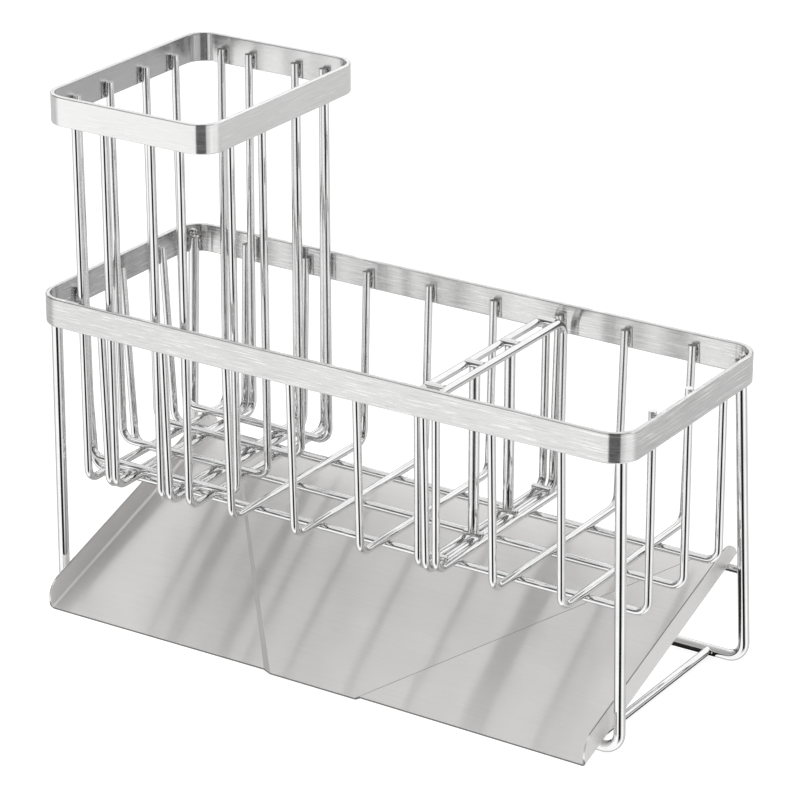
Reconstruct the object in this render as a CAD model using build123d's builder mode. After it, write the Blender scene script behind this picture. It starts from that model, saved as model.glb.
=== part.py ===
from build123d import *
import math
import os

os.makedirs("parts", exist_ok=True)

# A kitchen sink caddy of stainless wire, strip and sheet. Millimetres.
# X runs left to right, -Y is the front (the spout side), +Z is up.
# The origin is on the counter, under the middle of the basket.

# ---------------------------------------------------------------- driving dimensions

wire_d = 3.0                 # wire of the basket, bin and divider
leg_d = 4.2                  # heavier wire of the two leg frames
bend_r = 5.0                 # centreline bend of the thin wire
leg_bend_r = 6.5             # centreline bend of the leg wire
weld_bite = 0.05             # how far welded pieces are pressed into each other

# main rim band
rim_length = 250.0
rim_width = 98.8
rim_height = 11.3
rim_thickness = 1.8
rim_corner_r = 10.6
rim_top = 123.4
band_edge_r = 0.6            # rounded upper and lower edges of the bands
wire_top = rim_top - 4.0     # the wires stop a little below the rim's upper edge

# cross wires (front to back) and long wires (left to right)
cross_x = [-96.9, -69.2, -41.3, -13.5, 14.8, 42.6, 70.3, 98.0]
cross_y_top = rim_width / 2 - rim_thickness - wire_d / 2 + weld_bite
cross_y_floor = 43.7
cross_z_floor = 51.0
long_y = {"front": -25.6, "middle": 0.0, "back": 25.7}
long_x_top = rim_length / 2 - rim_thickness - wire_d / 2 + weld_bite
long_x_floor = 122.2          # right ends; the left ends lean further in
long_x_floor_left = -117.6
long_z_floor = cross_z_floor - wire_d + weld_bite
# the right ends of the front and middle wires peep over the rim
long_top_right = {"front": rim_top + 1.0, "middle": rim_top + 0.5, "back": wire_top}

# leg frames
leg_z_floor = leg_d / 2
front_leg_top = (119.59, -43.07)
front_leg_foot = (121.40, -41.90)
back_leg_top = (119.27, 43.03)
back_leg_foot = (124.30, 44.95)
base_tie_x = 110.0
base_tie_z = leg_z_floor + 0.2
support_z = 35.55
support_half = 122.0

# tall bin
bin_x_left = -119.55
bin_x_right = -45.25
bin_width = 96.8
bin_top = 201.25
bin_corner_r = 9.5
bin_wire_top = bin_top - 5.0
bin_cross_x = [-106.2, -93.5, -72.6, -59.9]
bin_cross_y_top = bin_width / 2 - rim_thickness - wire_d / 2 + weld_bite
bin_cross_y_floor = 44.3
bin_cross_z_floor = 51.45
bin_side_y = [-30.7, -11.1, 10.9, 29.4]
bin_side_z_floor = bin_cross_z_floor + wire_d - weld_bite
bin_side_left_top = bin_x_left + rim_thickness + wire_d / 2 - weld_bite
bin_side_left_floor = -115.0
bin_side_right_top = bin_x_right - rim_thickness - wire_d / 2 + weld_bite
bin_side_right_floor = -47.8

# divider, astride the sixth cross wire
divider_x = cross_x[5]
divider_half_gap = 3.65
divider_y_top = 43.6
divider_y_floor = 42.9
divider_z_floor = 51.45
divider_z_top = 118.8
divider_top_tie_y = [-38.0, -12.0, 12.0, 38.0]
divider_bottom_tie_y = [-36.0, -12.0, 12.0, 36.0]
divider_upright_d = 4.0
divider_top_tie_z = 119.6
divider_bottom_tie_d = 2.4
divider_bottom_tie_half = 4.1
divider_bottom_tie_z = divider_z_floor + wire_d / 2 + divider_bottom_tie_d / 2 - weld_bite
cope_gap = 0.01              # coped ends stop this far short of the wire they are welded to

# drip tray
sheet_t = 0.8
tray_half = 116.6            # outside of the side flanges
tray_front_y = -56.8
tray_back_y = 51.5
tray_front_z = 0.9           # upper surface of the sunk floor at the front edge
tray_slope = 0.357
tray_step_front = 1.5        # how far the two outer triangles stand above the sunk floor, at its edge
tray_step_back = 0.4
tray_step_outer = 0.7        # the same beside the flanges
tray_ramp_front = 2.4        # width of the pressed ramp between them
tray_ramp_back = 1.0
tray_flange_front = 9.6      # height of the side flanges, square to the slope
tray_flange_back = 8.6
tray_flange_r = 8.0          # rounded ends of the flanges
spout_left = 16.0            # the spout stands a little to the right of the middle
spout_right = 20.8
funnel_half_back = 107.5
tray_bend_r = 1.0
tray_floor_back_y = 44.8     # the floor is cut back here; the flanges run on to lie on the support bar
tray_cut_half = 114.6
tray_cut_r = 3.0

# ---------------------------------------------------------------- main rim band

with BuildPart() as main_rim_band:
    with BuildSketch(Plane.XY.offset(rim_top - rim_height)):
        RectangleRounded(rim_length, rim_width, rim_corner_r)
        RectangleRounded(
            rim_length - 2 * rim_thickness,
            rim_width - 2 * rim_thickness,
            rim_corner_r - rim_thickness,
            mode=Mode.SUBTRACT,
        )
    extrude(amount=rim_height)
    fillet(faces().sort_by(Axis.Z)[-1].edges(), band_edge_r)
    fillet(faces().sort_by(Axis.Z)[0].edges(), band_edge_r)
main_rim_band.part.label = "main_rim_band"
export_step(main_rim_band.part, "parts/main_rim_band.step")

# ---------------------------------------------------------------- cross wires

for number, x in enumerate(cross_x, start=1):
    with BuildPart() as cross_wire:
        with BuildLine(Plane.YZ.offset(x)) as path:
            FilletPolyline(
                (-cross_y_top, wire_top),
                (-cross_y_floor, cross_z_floor),
                (cross_y_floor, cross_z_floor),
                (cross_y_top, wire_top),
                radius=bend_r,
            )
        with BuildSketch(Plane(origin=path.line @ 0, z_dir=path.line % 0)):
            Circle(wire_d / 2)
        sweep()
    cross_wire.part.label = f"cross_wire_{number}"
    export_step(cross_wire.part, f"parts/cross_wire_{number}.step")

# ---------------------------------------------------------------- long wires, under the cross wires

for place, y in long_y.items():
    with BuildPart() as long_wire:
        with BuildLine(Plane.XZ.offset(-y)) as path:
            FilletPolyline(
                (-long_x_top, wire_top),
                (long_x_floor_left, long_z_floor),
                (long_x_floor, long_z_floor),
                (long_x_top, long_top_right[place]),
                radius=bend_r,
            )
        with BuildSketch(Plane(origin=path.line @ 0, z_dir=path.line % 0)):
            Circle(wire_d / 2)
        sweep()
    long_wire.part.label = f"long_wire_{place}"
    export_step(long_wire.part, f"parts/long_wire_{place}.step")

# ---------------------------------------------------------------- leg frames
# Each frame lies in one leaning plane: the local X is the object's X, and the
# local Y runs from the foot up to the rim.

front_rise = Vector(0, front_leg_top[1] - front_leg_foot[1], wire_top - leg_z_floor)
front_leg_plane = Plane(
    origin=(0, front_leg_foot[1], leg_z_floor),
    x_dir=(1, 0, 0),
    z_dir=Vector(1, 0, 0).cross(front_rise),
)
with BuildPart() as front_leg_frame:
    with BuildLine(front_leg_plane) as path:
        FilletPolyline(
            (-front_leg_top[0], front_rise.length),
            (-front_leg_foot[0], 0),
            (front_leg_foot[0], 0),
            (front_leg_top[0], front_rise.length),
            radius=leg_bend_r,
        )
    with BuildSketch(Plane(origin=path.line @ 0, z_dir=path.line % 0)):
        Circle(leg_d / 2)
    sweep()
front_leg_frame.part.label = "front_leg_frame"
export_step(front_leg_frame.part, "parts/front_leg_frame.step")

back_rise = Vector(0, back_leg_top[1] - back_leg_foot[1], wire_top - leg_z_floor)
back_leg_plane = Plane(
    origin=(0, back_leg_foot[1], leg_z_floor),
    x_dir=(1, 0, 0),
    z_dir=Vector(1, 0, 0).cross(back_rise),
)
with BuildPart() as back_leg_frame:
    with BuildLine(back_leg_plane) as path:
        FilletPolyline(
            (-back_leg_top[0], back_rise.length),
            (-back_leg_foot[0], 0),
            (back_leg_foot[0], 0),
            (back_leg_top[0], back_rise.length),
            radius=leg_bend_r,
        )
    with BuildSketch(Plane(origin=path.line @ 0, z_dir=path.line % 0)):
        Circle(leg_d / 2)
    sweep()
back_leg_frame.part.label = "back_leg_frame"
export_step(back_leg_frame.part, "parts/back_leg_frame.step")

# ---------------------------------------------------------------- base ties
# Each tie's ends are coped to sit against the round wire of the leg frames.

for side, x in (("left", -base_tie_x), ("right", base_tie_x)):
    with BuildPart() as base_tie:
        with BuildSketch(Plane(origin=(x, front_leg_foot[1], base_tie_z), x_dir=(1, 0, 0), z_dir=(0, 1, 0))):
            Circle(wire_d / 2)
        extrude(amount=back_leg_foot[1] - front_leg_foot[1])
        with BuildSketch(Plane.YZ.offset(x - 10)):
            with Locations((front_leg_foot[1], leg_z_floor), (back_leg_foot[1], leg_z_floor)):
                Circle(leg_d / 2 + cope_gap)
        extrude(amount=20, mode=Mode.SUBTRACT)
    base_tie.part.label = f"base_tie_{side}"
    export_step(base_tie.part, f"parts/base_tie_{side}.step")

# ---------------------------------------------------------------- tray support bar
# It runs behind the back legs and is welded to them.

support_t = (wire_top - support_z) / (wire_top - leg_z_floor)
support_y = (
    back_leg_top[1]
    + support_t * (back_leg_foot[1] - back_leg_top[1])
    + leg_d / 2
    + wire_d / 2
    - weld_bite
)
with BuildPart() as tray_support_bar:
    with BuildSketch(Plane.YZ.offset(-support_half)):
        with Locations((support_y, support_z)):
            Circle(wire_d / 2)
    extrude(amount=2 * support_half)
    chamfer(edges().filter_by(GeomType.CIRCLE), 0.4)
tray_support_bar.part.label = "tray_support_bar"
export_step(tray_support_bar.part, "parts/tray_support_bar.step")

# ---------------------------------------------------------------- tall bin

bin_centre_x = (bin_x_left + bin_x_right) / 2
bin_length = bin_x_right - bin_x_left
with BuildPart() as bin_rim_band:
    with BuildSketch(Plane.XY.offset(bin_top - rim_height)):
        with Locations((bin_centre_x, 0)):
            RectangleRounded(bin_length, bin_width, bin_corner_r)
            RectangleRounded(
                bin_length - 2 * rim_thickness,
                bin_width - 2 * rim_thickness,
                bin_corner_r - rim_thickness,
                mode=Mode.SUBTRACT,
            )
    extrude(amount=rim_height)
    fillet(faces().sort_by(Axis.Z)[-1].edges(), band_edge_r)
    fillet(faces().sort_by(Axis.Z)[0].edges(), band_edge_r)
bin_rim_band.part.label = "bin_rim_band"
export_step(bin_rim_band.part, "parts/bin_rim_band.step")

for number, x in enumerate(bin_cross_x, start=1):
    with BuildPart() as bin_cross_wire:
        with BuildLine(Plane.YZ.offset(x)) as path:
            FilletPolyline(
                (-bin_cross_y_top, bin_wire_top),
                (-bin_cross_y_floor, bin_cross_z_floor),
                (bin_cross_y_floor, bin_cross_z_floor),
                (bin_cross_y_top, bin_wire_top),
                radius=bend_r,
            )
        with BuildSketch(Plane(origin=path.line @ 0, z_dir=path.line % 0)):
            Circle(wire_d / 2)
        sweep()
    bin_cross_wire.part.label = f"bin_cross_wire_{number}"
    export_step(bin_cross_wire.part, f"parts/bin_cross_wire_{number}.step")

for number, y in enumerate(bin_side_y, start=1):
    with BuildPart() as bin_side_wire:
        with BuildLine(Plane.XZ.offset(-y)) as path:
            FilletPolyline(
                (bin_side_left_top, bin_wire_top),
                (bin_side_left_floor, bin_side_z_floor),
                (bin_side_right_floor, bin_side_z_floor),
                (bin_side_right_top, bin_wire_top),
                radius=bend_r,
            )
        with BuildSketch(Plane(origin=path.line @ 0, z_dir=path.line % 0)):
            Circle(wire_d / 2)
        sweep()
    bin_side_wire.part.label = f"bin_side_wire_{number}"
    export_step(bin_side_wire.part, f"parts/bin_side_wire_{number}.step")

# ---------------------------------------------------------------- divider
# Two closed wire rectangles with ties between them at the top and at the foot.

for side, x in (("left", divider_x - divider_half_gap), ("right", divider_x + divider_half_gap)):
    with BuildPart() as divider_loop:
        with BuildLine(Plane.YZ.offset(x)) as path:
            FilletPolyline(
                (-divider_y_top, divider_z_top),
                (-divider_y_floor, divider_z_floor),
                (divider_y_floor, divider_z_floor),
                (divider_y_top, divider_z_top),
                radius=bend_r,
                close=True,
            )
        with BuildSketch(Plane(origin=path.line @ 0, z_dir=path.line % 0)):
            Circle(wire_d / 2)
        sweep()
    divider_loop.part.label = f"divider_loop_{side}"
    export_step(divider_loop.part, f"parts/divider_loop_{side}.step")

for number, y in enumerate(divider_top_tie_y, start=1):
    # upper ties butt against the insides of the two top bars
    with BuildPart() as divider_top_tie:
        with BuildSketch(Plane.YZ.offset(divider_x - divider_half_gap)):
            with Locations((y, divider_top_tie_z)):
                Circle(wire_d / 2)
        extrude(amount=2 * divider_half_gap)
        with BuildSketch(Plane.XZ.offset(-y - 5)):
            with Locations(
                (divider_x - divider_half_gap, divider_z_top),
                (divider_x + divider_half_gap, divider_z_top),
            ):
                Circle(wire_d / 2 + cope_gap)
        extrude(amount=10, mode=Mode.SUBTRACT)
    divider_top_tie.part.label = f"divider_top_tie_{number}"
    export_step(divider_top_tie.part, f"parts/divider_top_tie_{number}.step")

for number, y in enumerate(divider_bottom_tie_y, start=1):
    # lower ties lie on the two bottom bars, over the cross wire between them
    with BuildPart() as divider_bottom_tie:
        with BuildSketch(Plane.YZ.offset(divider_x - divider_bottom_tie_half)):
            with Locations((y, divider_bottom_tie_z)):
                Circle(divider_bottom_tie_d / 2)
        extrude(amount=2 * divider_bottom_tie_half)
        fillet(edges().filter_by(GeomType.CIRCLE), 0.7)
    divider_bottom_tie.part.label = f"divider_bottom_tie_{number}"
    export_step(divider_bottom_tie.part, f"parts/divider_bottom_tie_{number}.step")

# The uprights stand on the lower middle ties and reach the upper middle ties.
# Their ends are coped to the round ties.
upright_foot = divider_bottom_tie_z + 0.6
upright_head = divider_top_tie_z - 0.6
for place, y in (("front", divider_top_tie_y[1]), ("back", divider_top_tie_y[2])):
    with BuildPart() as divider_upright:
        with BuildSketch(Plane.XY.offset(upright_foot)):
            with Locations((divider_x, y)):
                Circle(divider_upright_d / 2)
        extrude(amount=upright_head - upright_foot)
        with BuildSketch(Plane.YZ.offset(divider_x - 5)):
            with Locations((y, divider_bottom_tie_z)):
                Circle(divider_bottom_tie_d / 2 + cope_gap)
            with Locations((y, divider_top_tie_z)):
                Circle(wire_d / 2 + cope_gap)
        extrude(amount=10, mode=Mode.SUBTRACT)
    divider_upright.part.label = f"divider_upright_{place}"
    export_step(divider_upright.part, f"parts/divider_upright_{place}.step")

# ---------------------------------------------------------------- drip tray
# One sheet. Its cross-section stands square to the slope: side flanges, two
# raised outer floors, two ramps and the sunk funnel floor, which widens from
# the spout to the back corners.

tray_angle = math.atan(tray_slope)
tray_c = math.cos(tray_angle)
tray_s = math.sin(tray_angle)
tray_run = (tray_back_y - tray_front_y) / tray_c
tray_front_plane = Plane(
    origin=(0, tray_front_y, tray_front_z), x_dir=(1, 0, 0), z_dir=(0, -tray_c, -tray_s)
)
# The sheet is drawn a little too long and too tall, then trimmed by its side silhouette.
tray_spare = 2.0

with BuildPart() as drip_tray:
    for run in (-tray_spare, tray_run + tray_spare):
        share = run / tray_run
        left = spout_left + (funnel_half_back - spout_left) * share
        right = spout_right + (funnel_half_back - spout_right) * share
        step = tray_step_front + (tray_step_back - tray_step_front) * share
        outer_step = tray_step_outer + (tray_step_back - tray_step_outer) * share
        ramp = tray_ramp_front + (tray_ramp_back - tray_ramp_front) * share
        shift = sheet_t * math.tan(math.atan2(step, ramp) / 2)
        flange = max(tray_flange_front, tray_flange_back) + tray_spare
        inner = tray_half - sheet_t
        upper = [(inner, flange), (inner, outer_step)]
        lower = [(tray_half, outer_step - sheet_t), (tray_half, flange)]
        outline = (
            [(-u, w) for u, w in upper]
            + [(-left - ramp, step), (-left, 0.0), (right, 0.0), (right + ramp, step)]
            + upper[::-1]
            + lower[::-1]
            + [
                (right + ramp + shift, step - sheet_t),
                (right + shift, -sheet_t),
                (-left - shift, -sheet_t),
                (-left - ramp - shift, step - sheet_t),
            ]
            + [(-u, w) for u, w in lower]
        )
        with BuildSketch(tray_front_plane.offset(-run)) as section:
            with BuildLine():
                Polyline(*outline, close=True)
            make_face()
            fillet(
                [v for v in section.vertices() if abs(abs(v.X) - inner) < 0.01 and abs(v.Y - outer_step) < 0.01],
                tray_bend_r,
            )
            fillet(
                [
                    v
                    for v in section.vertices()
                    if abs(abs(v.X) - tray_half) < 0.01 and abs(v.Y - outer_step + sheet_t) < 0.01
                ],
                tray_bend_r + sheet_t,
            )
    loft(ruled=True)
    # the side silhouette: straight front and back edges, tapering flanges with rounded ends
    side_plane = Plane(
        origin=(-tray_half - 5, tray_front_y, tray_front_z), x_dir=(0, tray_c, tray_s), z_dir=(1, 0, 0)
    )
    with BuildSketch(side_plane) as silhouette:
        with BuildLine():
            Polyline((0, -5), (tray_run, -5), (tray_run, tray_flange_back), (0, tray_flange_front), close=True)
        make_face()
        fillet([v for v in silhouette.vertices() if v.Y > 0], tray_flange_r)
    extrude(amount=2 * tray_half + 10, mode=Mode.INTERSECT)
    # the floor's back edge, cut back between the flanges
    floor_run = (tray_floor_back_y - tray_front_y) / tray_c
    floor_plane = Plane(
        origin=(0, tray_front_y, tray_front_z), x_dir=(1, 0, 0), z_dir=(0, -tray_s, tray_c)
    )
    with BuildSketch(floor_plane) as notch:
        with BuildLine():
            Polyline(
                (-tray_cut_half, floor_run),
                (tray_cut_half, floor_run),
                (tray_cut_half, tray_run + 10),
                (-tray_cut_half, tray_run + 10),
                close=True,
            )
        make_face()
        fillet([v for v in notch.vertices() if v.Y < tray_run], tray_cut_r)
    extrude(amount=30, both=True, mode=Mode.SUBTRACT)
drip_tray.part.label = "drip_tray"
export_step(drip_tray.part, "parts/drip_tray.step")
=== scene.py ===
import math

import bmesh
import bpy
import numpy as np
from mathutils import Matrix, Vector


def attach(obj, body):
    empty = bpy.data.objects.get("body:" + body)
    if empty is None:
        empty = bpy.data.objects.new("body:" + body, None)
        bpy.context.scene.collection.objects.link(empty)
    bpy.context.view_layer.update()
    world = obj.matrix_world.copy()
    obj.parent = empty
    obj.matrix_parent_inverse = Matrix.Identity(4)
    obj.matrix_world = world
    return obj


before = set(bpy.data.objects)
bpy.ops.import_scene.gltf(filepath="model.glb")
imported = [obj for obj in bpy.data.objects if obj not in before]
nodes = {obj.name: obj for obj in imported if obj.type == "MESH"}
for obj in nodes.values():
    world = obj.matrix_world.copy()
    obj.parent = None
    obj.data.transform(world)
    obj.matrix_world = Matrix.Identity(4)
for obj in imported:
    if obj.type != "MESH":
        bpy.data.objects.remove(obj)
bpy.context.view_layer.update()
MM = 0.001
RIM_TOP = 123.4


# ---------------------------------------------------------------- camera
def make_camera():
    data = bpy.data.cameras.new("camera")
    cam = bpy.data.objects.new("camera", data)
    bpy.context.scene.collection.objects.link(cam)
    az, el = math.radians(33.0004), math.radians(22.2758)
    cx, cy, dist, focal, px, py = -0.8136, -27.7611, 1307.495, 3624.17, -10.167, -3.081
    right = Vector((math.cos(az), math.sin(az), 0))
    back = Vector((math.sin(az) * math.cos(el), -math.cos(az) * math.cos(el), math.sin(el)))
    up = back.cross(right)
    centre = (right * cx + up * cy + back * dist + Vector((0, 0, RIM_TOP))) * MM
    cam.matrix_world = Matrix((
        (right.x, up.x, back.x, centre.x),
        (right.y, up.y, back.y, centre.y),
        (right.z, up.z, back.z, centre.z),
        (0, 0, 0, 1),
    ))
    data.sensor_width = 36.0
    data.lens = focal / 800.0 * 36.0
    data.shift_x = -px / 800.0
    data.shift_y = py / 800.0
    data.clip_start = 0.05
    data.clip_end = 30.0
    bpy.context.scene.camera = cam


make_camera()


# ---------------------------------------------------------------- node helpers
class Graph:
    def __init__(self, tree):
        self.t = tree

    def node(self, kind, **settings):
        n = self.t.nodes.new(kind)
        for k, v in settings.items():
            setattr(n, k, v)
        return n

    def link(self, a, b):
        self.t.links.new(a, b)

    def put(self, socket, value):
        if hasattr(value, "is_output"):
            self.link(value, socket)
        else:
            socket.default_value = value

    def math(self, op, *values, clamp=False):
        n = self.node("ShaderNodeMath", operation=op, use_clamp=clamp)
        for s, v in zip(n.inputs, values):
            self.put(s, v)
        return n.outputs[0]

    def vec(self, op, *values):
        n = self.node("ShaderNodeVectorMath", operation=op)
        for s, v in zip(n.inputs, values):
            self.put(s, v)
        return n.outputs["Value"] if op in ("DOT_PRODUCT", "LENGTH") else n.outputs["Vector"]

    def ramp(self, value, a, b, lo=0.0, hi=1.0, smooth=True):
        n = self.node("ShaderNodeMapRange", interpolation_type="SMOOTHSTEP" if smooth else "LINEAR")
        self.put(n.inputs["Value"], value)
        self.put(n.inputs["From Min"], a)
        self.put(n.inputs["From Max"], b)
        self.put(n.inputs["To Min"], lo)
        self.put(n.inputs["To Max"], hi)
        return n.outputs["Result"]

    def mix(self, fac, a, b, kind="RGBA", blend="MIX"):
        n = self.node("ShaderNodeMix", data_type=kind)
        if kind == "RGBA":
            n.blend_type = blend
            ia, ib, out = n.inputs[6], n.inputs[7], n.outputs[2]
        else:
            ia, ib, out = n.inputs[2], n.inputs[3], n.outputs[0]
        self.put(n.inputs[0], fac)
        self.put(ia, a)
        self.put(ib, b)
        return out

    def noise(self, vector, scale, detail=2.0, rough=0.5):
        n = self.node("ShaderNodeTexNoise")
        self.put(n.inputs["Vector"], vector)
        n.inputs["Scale"].default_value = scale
        n.inputs["Detail"].default_value = detail
        n.inputs["Roughness"].default_value = rough
        return n.outputs["Fac"]

    def xyz(self, x, y, z):
        n = self.node("ShaderNodeCombineXYZ")
        for s, v in zip(n.inputs, (x, y, z)):
            self.put(s, v)
        return n.outputs[0]

    def split(self, vector):
        n = self.node("ShaderNodeSeparateXYZ")
        self.put(n.inputs[0], vector)
        return n.outputs

    def bump(self, height, strength, distance, normal=None):
        n = self.node("ShaderNodeBump")
        n.inputs["Strength"].default_value = strength
        n.inputs["Distance"].default_value = distance
        self.put(n.inputs["Height"], height)
        if normal is not None:
            self.put(n.inputs["Normal"], normal)
        return n.outputs["Normal"]


def metal(name):
    m = bpy.data.materials.new(name)
    m.use_nodes = True
    b = m.node_tree.nodes["Principled BSDF"]
    b.inputs["Metallic"].default_value = 1.0
    return m, Graph(m.node_tree), b


# ---------------------------------------------------------------- materials
def wire_material(name, low=0.78, high=0.90, rough_low=0.04, rough_high=0.09):
    """Drawn and polished stainless wire: faint long waves, a little grain, a few duller patches."""
    m, g, b = metal(name)
    p = g.node("ShaderNodeTexCoord").outputs["Object"]
    broad = g.noise(p, 90.0, 3.0)
    fine = g.noise(p, 1400.0, 2.0)
    tone = g.math("ADD", g.math("MULTIPLY", broad, 0.7), g.math("MULTIPLY", fine, 0.3))
    colour = g.node("ShaderNodeValToRGB")
    colour.color_ramp.elements[0].position = 0.3
    colour.color_ramp.elements[0].color = (low, low, low * 1.005, 1)
    colour.color_ramp.elements[1].position = 0.7
    colour.color_ramp.elements[1].color = (high, high, high * 0.995, 1)
    g.link(tone, colour.inputs["Fac"])
    g.link(colour.outputs["Color"], b.inputs["Base Color"])
    g.link(g.ramp(fine, 0.3, 0.7, rough_low, rough_high), b.inputs["Roughness"])
    g.link(g.bump(broad, 0.5, 0.00012, g.bump(fine, 0.15, 0.00001)), b.inputs["Normal"])
    return m


def band_material(name, centre_x, grain, out_face_painted_tone=0.87, in_face_painted_tone=0.82, end_face_painted_shade=0.62):
    """Flat strip, brushed along its length. The outer and inner faces get separate painted tones of light and shade,
    and the inner faces at the ends are darkest, painted shade.
    """
    m, g, b = metal(name)
    tc = g.node("ShaderNodeTexCoord")
    p, n = tc.outputs["Object"], tc.outputs["Normal"]
    # painted light and shade: outer and inner faces get their own tones, the inner end faces the darkest
    away = g.vec("MULTIPLY", g.vec("SUBTRACT", p, (centre_x * MM, 0, 0)), (1, 1, 0))
    side = g.ramp(g.vec("DOT_PRODUCT", away, n), -0.002, 0.002)
    facing = g.math("ABSOLUTE", g.split(n)[0])
    in_face_painted_mix = g.mix(g.ramp(facing, 0.3, 0.98), (in_face_painted_tone, in_face_painted_tone, in_face_painted_tone * 0.995, 1), (end_face_painted_shade, end_face_painted_shade, end_face_painted_shade, 1))
    base = g.mix(side, in_face_painted_mix, (out_face_painted_tone, out_face_painted_tone, out_face_painted_tone * 0.995, 1))
    hair = g.noise(g.vec("MULTIPLY", p, (75.0, 75.0, 2300.0)), 1.0, 3.0, 0.6)
    fine = g.noise(g.vec("MULTIPLY", p, (160.0, 160.0, 6000.0)), 1.0, 2.0, 0.6)
    cloud = g.noise(p, 26.0, 2.0)
    bright_lines = g.ramp(hair, 0.56, 0.66)
    dark_lines = g.ramp(hair, 0.45, 0.34)
    tone = g.math("ADD", 1.0, g.math("MULTIPLY", bright_lines, 0.34 * grain))
    tone = g.math("SUBTRACT", tone, g.math("MULTIPLY", dark_lines, 0.15 * grain))
    tone = g.math("MULTIPLY", tone, g.ramp(fine, 0.3, 0.7, 1.0 - 0.05 * grain, 1.0 + 0.03 * grain))
    tone = g.math("MULTIPLY", tone, g.ramp(cloud, 0.3, 0.7, 0.975, 1.02))
    toned = g.mix(1.0, base, g.xyz(tone, tone, tone), blend="MULTIPLY")
    g.link(toned, b.inputs["Base Color"])
    b.inputs["Metallic"].default_value = 0.88
    b.inputs["Anisotropic"].default_value = 0.93
    g.link(g.xyz(0.0, 0.0, 1.0), b.inputs["Tangent"])
    g.link(g.ramp(hair, 0.3, 0.7, 0.17, 0.25), b.inputs["Roughness"])
    g.link(g.bump(hair, 0.12 * grain, 0.00002), b.inputs["Normal"])
    return m


def tray_material(name):
    """Satin sheet, brushed from side to side, with painted light and shade by facing: a dark painted reflection along
    its low front edge, painted highlights on the flange fold and front rounding, painted shade on the flange crest,
    and lighter or darker painted tones on facets leaning to either side.
    """
    m, g, b = metal(name)
    tc = g.node("ShaderNodeTexCoord")
    p, n = tc.outputs["Object"], tc.outputs["Normal"]
    hair = g.noise(g.vec("MULTIPLY", p, (40.0, 2600.0, 2600.0)), 1.0, 3.0, 0.6)
    fine = g.noise(g.vec("MULTIPLY", p, (120.0, 9000.0, 9000.0)), 1.0, 2.0, 0.6)
    cloud = g.noise(p, 14.0, 2.0)
    lines = g.math("ADD", g.math("MULTIPLY", hair, 0.5), g.math("MULTIPLY", fine, 0.5))
    tone = g.ramp(lines, 0.35, 0.65, 0.87, 0.93)
    tone = g.math("MULTIPLY", tone, g.ramp(cloud, 0.3, 0.7, 0.985, 1.015))
    lean = g.split(n)[0]
    outside = g.ramp(g.math("ABSOLUTE", g.split(p)[0]), 0.1135, 0.1142)
    tilt = g.math("ABSOLUTE", lean)
    # painted highlight: the flange fold is set to full brightness
    fold_painted_highlight = g.math("MULTIPLY", outside, g.math("MULTIPLY", g.ramp(tilt, 0.12, 0.25), g.ramp(tilt, 0.97, 0.90)))
    tone = g.mix(fold_painted_highlight, tone, 1.0, kind="FLOAT")
    # painted light and shade on the pressed floor: facets leaning a little to +X lighter, steeper ones and those
    # leaning to -X darker
    pressed = g.math("SUBTRACT", 1.0, outside)
    tone = g.mix(g.math("MULTIPLY", pressed, g.ramp(lean, 0.03, 0.10)), tone, 0.98, kind="FLOAT")
    tone = g.mix(g.math("MULTIPLY", pressed, g.ramp(lean, 0.24, 0.34)), tone, 0.58, kind="FLOAT")
    tone = g.mix(g.math("MULTIPLY", pressed, g.ramp(lean, -0.12, -0.22)), tone, 0.40, kind="FLOAT")
    across, _, height = g.split(p)
    across = g.math("ABSOLUTE", across)
    # painted reflection: a dark line along the low front-facing edge
    forward = g.vec("DOT_PRODUCT", n, (0.0, -0.942, -0.336))
    edge_painted_reflection = g.math("MULTIPLY", g.ramp(forward, 0.93, 0.98), g.ramp(height, 0.0045, 0.0030))
    tone = g.mix(edge_painted_reflection, tone, 0.16, kind="FLOAT")
    # painted highlight on the flange's front rounding, painted shade along the flange crest
    flange = g.ramp(across, 0.1155, 0.1157)
    rim = g.math("MULTIPLY", flange, g.math("MULTIPLY", g.ramp(forward, 0.15, 0.35), g.ramp(height, 0.0035, 0.0050)))
    crest_painted_shade = g.math("MULTIPLY", flange, g.math("MULTIPLY", g.ramp(across, 0.1164, 0.1161), g.ramp(tilt, 0.5, 0.3)))
    tone = g.mix(g.math("MULTIPLY", crest_painted_shade, g.math("SUBTRACT", 1.0, rim)), tone, 0.30, kind="FLOAT")
    tone = g.mix(rim, tone, 1.0, kind="FLOAT")
    g.link(g.xyz(tone, g.math("MULTIPLY", tone, 0.985), g.math("MULTIPLY", tone, 0.98)), b.inputs["Base Color"])
    b.inputs["Metallic"].default_value = 0.55
    b.inputs["Specular IOR Level"].default_value = 0.3
    b.inputs["Anisotropic"].default_value = 1.0
    g.link(g.xyz(0.0, 0.942, 0.336), b.inputs["Tangent"])
    g.link(g.ramp(lines, 0.34, 0.66, 0.18, 0.26), b.inputs["Roughness"])
    broad = g.noise(g.vec("MULTIPLY", p, (14.0, 9.0, 9.0)), 1.0, 1.0, 0.4)
    g.link(g.bump(broad, 0.15, 0.0004, g.bump(lines, 0.10, 0.00002)), b.inputs["Normal"])
    return m


def weld_material(name, low=0.30, high=0.80):
    """Heat-darkened weld metal, rippled; on the rim seams its dark tone also stands in as painted shade between wire
    and rim.
    """
    m, g, b = metal(name)
    p = g.node("ShaderNodeTexCoord").outputs["Object"]
    spots = g.noise(p, 900.0, 3.0, 0.6)
    ripple = g.noise(p, 2400.0, 2.0, 0.5)
    tone = g.ramp(spots, 0.35, 0.68, low, high)
    g.link(g.xyz(tone, g.math("MULTIPLY", tone, 0.985), g.math("MULTIPLY", tone, 0.96)), b.inputs["Base Color"])
    g.link(g.ramp(ripple, 0.3, 0.7, 0.12, 0.34), b.inputs["Roughness"])
    g.link(g.bump(ripple, 0.5, 0.00008), b.inputs["Normal"])
    return m


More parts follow.
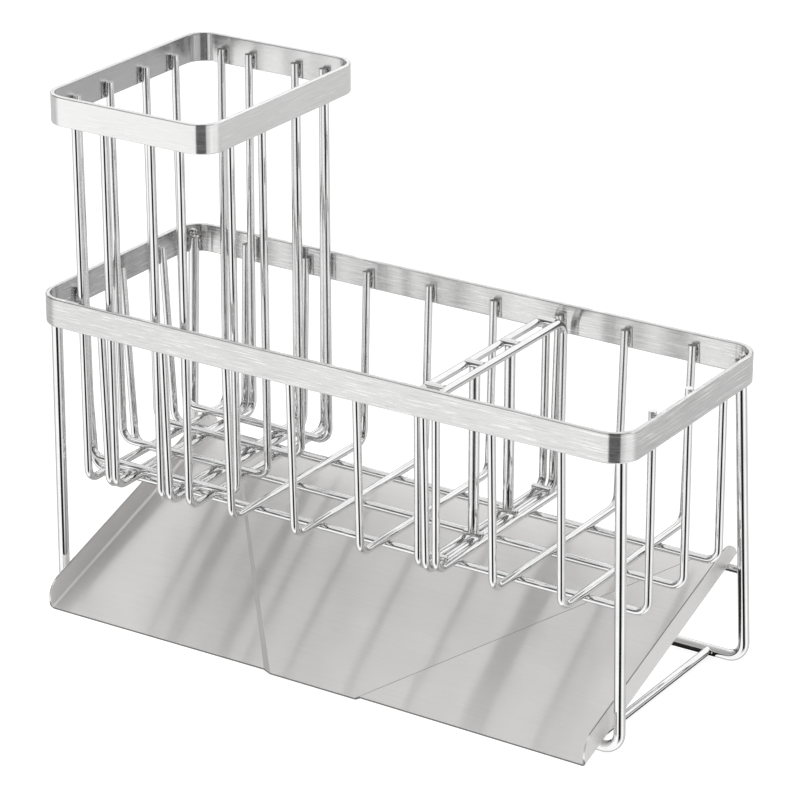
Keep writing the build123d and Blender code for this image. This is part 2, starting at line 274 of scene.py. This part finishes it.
bright = wire_material("bright_wire")
main_band = band_material("brushed_strip_main", 0.0, 1.0, out_face_painted_tone=0.75, in_face_painted_tone=0.80)
bin_band = band_material("brushed_strip_bin", -82.4, 0.3, out_face_painted_tone=0.90)
satin = tray_material("satin_sheet")
weld_tint_and_shade = weld_material("weld_metal")
ground = weld_material("ground_weld_metal", 0.55, 0.95)

for name, obj in nodes.items():
    m = {"main_rim_band": main_band, "bin_rim_band": bin_band, "drip_tray": satin}.get(name, bright)
    obj.data.materials.clear()
    obj.data.materials.append(m)


# ---------------------------------------------------------------- welds
def bead(bm, centre, size, seed, level=3, rough=0.13):
    """One irregular lump of weld metal, in millimetres."""
    made = bmesh.ops.create_icosphere(bm, subdivisions=level, radius=1.0)["verts"]
    rng = np.random.RandomState(seed)
    waves = rng.normal(size=(5, 3)) * 2.2
    phase = rng.uniform(0, 6.28, 5)
    for v in made:
        d = np.array(v.co)
        swell = 1.0 + rough * sum(math.sin(float(w @ d) + f) for w, f in zip(waves, phase)) / 1.8
        v.co = Vector([(c + swell * k * float(q)) * MM for c, k, q in zip(centre, size, d)])


def weld_object(name, body, beads, level=2, material=weld_tint_and_shade):
    bm = bmesh.new()
    for i, (centre, size) in enumerate(beads):
        bead(bm, centre, size, 7 * i + len(name), level, 0.22 if level == 4 else 0.13)
    mesh = bpy.data.meshes.new(name)
    bm.to_mesh(mesh)
    bm.free()
    mesh.polygons.foreach_set("use_smooth", [True] * len(mesh.polygons))
    mesh.materials.append(material)
    o = bpy.data.objects.new(name, mesh)
    bpy.context.scene.collection.objects.link(o)
    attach(o, body)
    return o


CROSS_X = [-96.9, -69.2, -41.3, -13.5, 14.8, 42.6, 70.3, 98.0]
LONG_Y = [-25.6, 0.0, 25.7]
BIN_X = [-106.2, -93.5, -72.6, -59.9]
BIN_Y = [-30.7, -11.1, 10.9, 29.4]
DIVIDER_X = 42.6

frame_beads = []
for x in CROSS_X:
    for y in LONG_Y:
        frame_beads.append(((x + 1.15, y - 0.75, 49.35), (0.95, 0.75, 0.62)))
        frame_beads.append(((x - 1.15, y + 0.75, 49.35), (0.8, 0.7, 0.55)))
for sx in (-1, 1):
    frame_beads.append(((sx * 110.0 + 1.3, 42.9, 2.6), (1.0, 0.9, 0.9)))
    frame_beads.append(((sx * 110.0 - 1.3, 42.9, 2.6), (0.9, 0.8, 0.8)))
    frame_beads.append(((sx * 110.0 + 1.3, -39.9, 2.6), (1.0, 0.9, 0.9)))
    frame_beads.append(((sx * 110.0 - 1.3, -39.9, 2.6), (0.9, 0.8, 0.8)))
    frame_beads.append(((sx * 121.2, 46.3, 36.6), (1.1, 0.9, 0.9)))
    frame_beads.append(((sx * 121.2, 46.3, 34.6), (1.0, 0.9, 0.8)))
# seams where the wires meet the inside of the rim: weld beads whose dark weld tone also stands in as painted shade
# between wire and rim
for x in CROSS_X:
    for sy in (-1, 1):
        for k in (-1, 1):
            frame_beads.append(((x + 1.05 * k, sy * 47.25, 116.2), (0.45, 0.4, 2.6)))
for y in LONG_Y:
    for sx in (-1, 1):
        for k in (-1, 1):
            frame_beads.append(((sx * 122.85, y + 1.05 * k, 116.2), (0.4, 0.45, 2.6)))
weld_object("frame_welds", "frame", frame_beads)

leg_beads = []
for sx in (-1, 1):
    leg_beads.append(((sx * 120.1, 43.8, 117.6), (2.4, 2.3, 3.4)))
    leg_beads.append(((sx * 119.9, 43.4, 120.7), (1.9, 1.9, 1.5)))
    leg_beads.append(((sx * 120.4, -44.0, 117.3), (2.0, 2.0, 2.8)))
    leg_beads.append(((sx * 120.2, -43.8, 119.8), (1.4, 1.5, 1.2)))
weld_object("leg_welds", "frame", leg_beads, 4, ground)

bin_beads = []
for x in BIN_X:
    for y in BIN_Y:
        bin_beads.append(((x + 1.15, y - 0.7, 52.95), (0.85, 0.7, 0.55)))
    # seams where the bin's wires meet the inside of its rim: weld beads whose dark weld tone also stands in as
    # painted shade
    for sy in (-1, 1):
        for k in (-1, 1):
            bin_beads.append(((x + 1.05 * k, sy * 46.25, 193.6), (0.45, 0.4, 2.4)))
for y in BIN_Y:
    for x, k0 in ((-117.4, 1), (-47.4, -1)):
        for k in (-1, 1):
            bin_beads.append(((x, y + 1.05 * k, 193.6), (0.4, 0.45, 2.4)))
weld_object("bin_welds", "tall_bin", bin_beads)

divider_beads = []
for y in (-36.0, -12.0, 12.0, 36.0):
    for k in (-1, 1):
        divider_beads.append(((DIVIDER_X + 3.3 * k, y - 0.9, 53.1), (0.6, 0.55, 0.4)))
for y in (-38.0, -12.0, 12.0, 38.0):
    for k in (-1, 1):
        divider_beads.append(((DIVIDER_X + 2.5 * k, y - 1.1, 119.5), (0.7, 0.7, 0.6)))
        divider_beads.append(((DIVIDER_X + 2.5 * k, y + 1.1, 119.5), (0.6, 0.7, 0.6)))
for y in (-12.0, 12.0):
    divider_beads.append(((DIVIDER_X + 0.9, y - 1.2, 117.9), (0.9, 0.8, 0.7)))
    divider_beads.append(((DIVIDER_X + 0.9, y - 1.2, 55.6), (0.7, 0.6, 0.5)))
weld_object("divider_welds", "divider", divider_beads, 2, ground)


# ---------------------------------------------------------------- floor and light
def plane(name, size, z):
    bm = bmesh.new()
    bmesh.ops.create_grid(bm, x_segments=8, y_segments=8, size=size)
    mesh = bpy.data.meshes.new(name)
    bm.to_mesh(mesh)
    bm.free()
    o = bpy.data.objects.new(name, mesh)
    bpy.context.scene.collection.objects.link(o)
    o.location.z = z
    return o


floor = plane("floor", 6.0, -0.00005)
fm = bpy.data.materials.new("floor")
fm.use_nodes = True
fb = fm.node_tree.nodes["Principled BSDF"]
fb.inputs["Base Color"].default_value = (0.45, 0.45, 0.45, 1)
fb.inputs["Roughness"].default_value = 1.0
fb.inputs["Specular IOR Level"].default_value = 0.0
fb.inputs["Emission Color"].default_value = (1, 1, 1, 1)
fb.inputs["Emission Strength"].default_value = 0.84
floor.data.materials.append(fm)
floor.visible_glossy = False

# the shaded counter under the tray, seen only in the metal's reflections
bm = bmesh.new()
corners = [bm.verts.new(Vector(c) * MM) for c in ((-113, -34, 0.4), (113, -34, 0.4), (113, 48, 0.4), (-113, 48, 0.4))]
bm.faces.new(corners)
mesh = bpy.data.meshes.new("shade")
bm.to_mesh(mesh)
bm.free()
shade = bpy.data.objects.new("shade", mesh)
bpy.context.scene.collection.objects.link(shade)
sm = bpy.data.materials.new("shade")
sm.use_nodes = True
sb = sm.node_tree.nodes["Principled BSDF"]
sb.inputs["Base Color"].default_value = (0.05, 0.05, 0.05, 1)
sb.inputs["Roughness"].default_value = 1.0
sb.inputs["Specular IOR Level"].default_value = 0.0
mesh.materials.append(sm)
shade.visible_camera = False
shade.visible_diffuse = False
shade.visible_shadow = False


def make_world():
    world = bpy.data.worlds.new("studio")
    bpy.context.scene.world = world
    world.use_nodes = True
    g = Graph(world.node_tree)
    bg = world.node_tree.nodes["Background"]
    d = g.node("ShaderNodeTexCoord").outputs["Generated"]
    x, y, z = g.split(d)
    deg = 57.29578
    turn = g.math("MULTIPLY", g.math("ARCTAN2", x, g.math("MULTIPLY", y, -1.0)), deg)
    rise = g.math("MULTIPLY", g.math("ARCSINE", z), deg)
    aside = g.math("ABSOLUTE", turn)
    # white table below the horizon, greyer behind the object
    table = g.ramp(turn, 95.0, 124.0, 1.14, 0.64)
    table = g.mix(g.ramp(turn, -48.0, -76.0), table, 0.60, kind="FLOAT")
    # soft light above
    sky = g.ramp(rise, 36.0, 55.0, 1.12, 0.88)
    above = g.ramp(rise, -1.0, 1.0)
    light = g.mix(above, table, sky, kind="FLOAT")
    # the darker room between table and light: taller in front, thin behind
    tall = g.math("MULTIPLY", g.ramp(rise, -7.0, -3.0), g.ramp(rise, 33.0, 42.0, 1.0, 0.0))
    thin = g.math("MULTIPLY", g.ramp(rise, -2.5, -0.5), g.ramp(rise, 7.0, 13.0, 1.0, 0.0))
    room = g.mix(g.ramp(aside, 88.0, 104.0), tall, thin, kind="FLOAT")
    light = g.math("MULTIPLY", light, g.math("SUBTRACT", 1.0, g.math("MULTIPLY", room, 0.86)))
    # the dark side of the room, in front of the table
    dark = g.math("MULTIPLY", g.ramp(turn, 6.0, 13.0), g.ramp(turn, 52.0, 58.0, 1.0, 0.0))
    soft = g.math("MULTIPLY", g.ramp(turn, 30.0, 50.0), g.ramp(turn, 58.0, 82.0, 0.32, 0.0))
    dark = g.math("MAXIMUM", dark, soft)
    dark = g.math("MULTIPLY", dark, g.ramp(rise, 55.0, 70.0, 1.0, 0.0))
    dark = g.math("MULTIPLY", dark, g.ramp(rise, -58.0, -34.0))
    light = g.math("MULTIPLY", light, g.math("SUBTRACT", 1.0, g.math("MULTIPLY", dark, 0.985)))
    seen = g.node("ShaderNodeLightPath").outputs["Is Camera Ray"]
    light = g.mix(seen, light, 1.0, kind="FLOAT")
    g.link(g.xyz(light, light, light), bg.inputs["Color"])
    bg.inputs["Strength"].default_value = 1.0


make_world()
bpy.context.scene.view_settings.view_transform = "Standard"
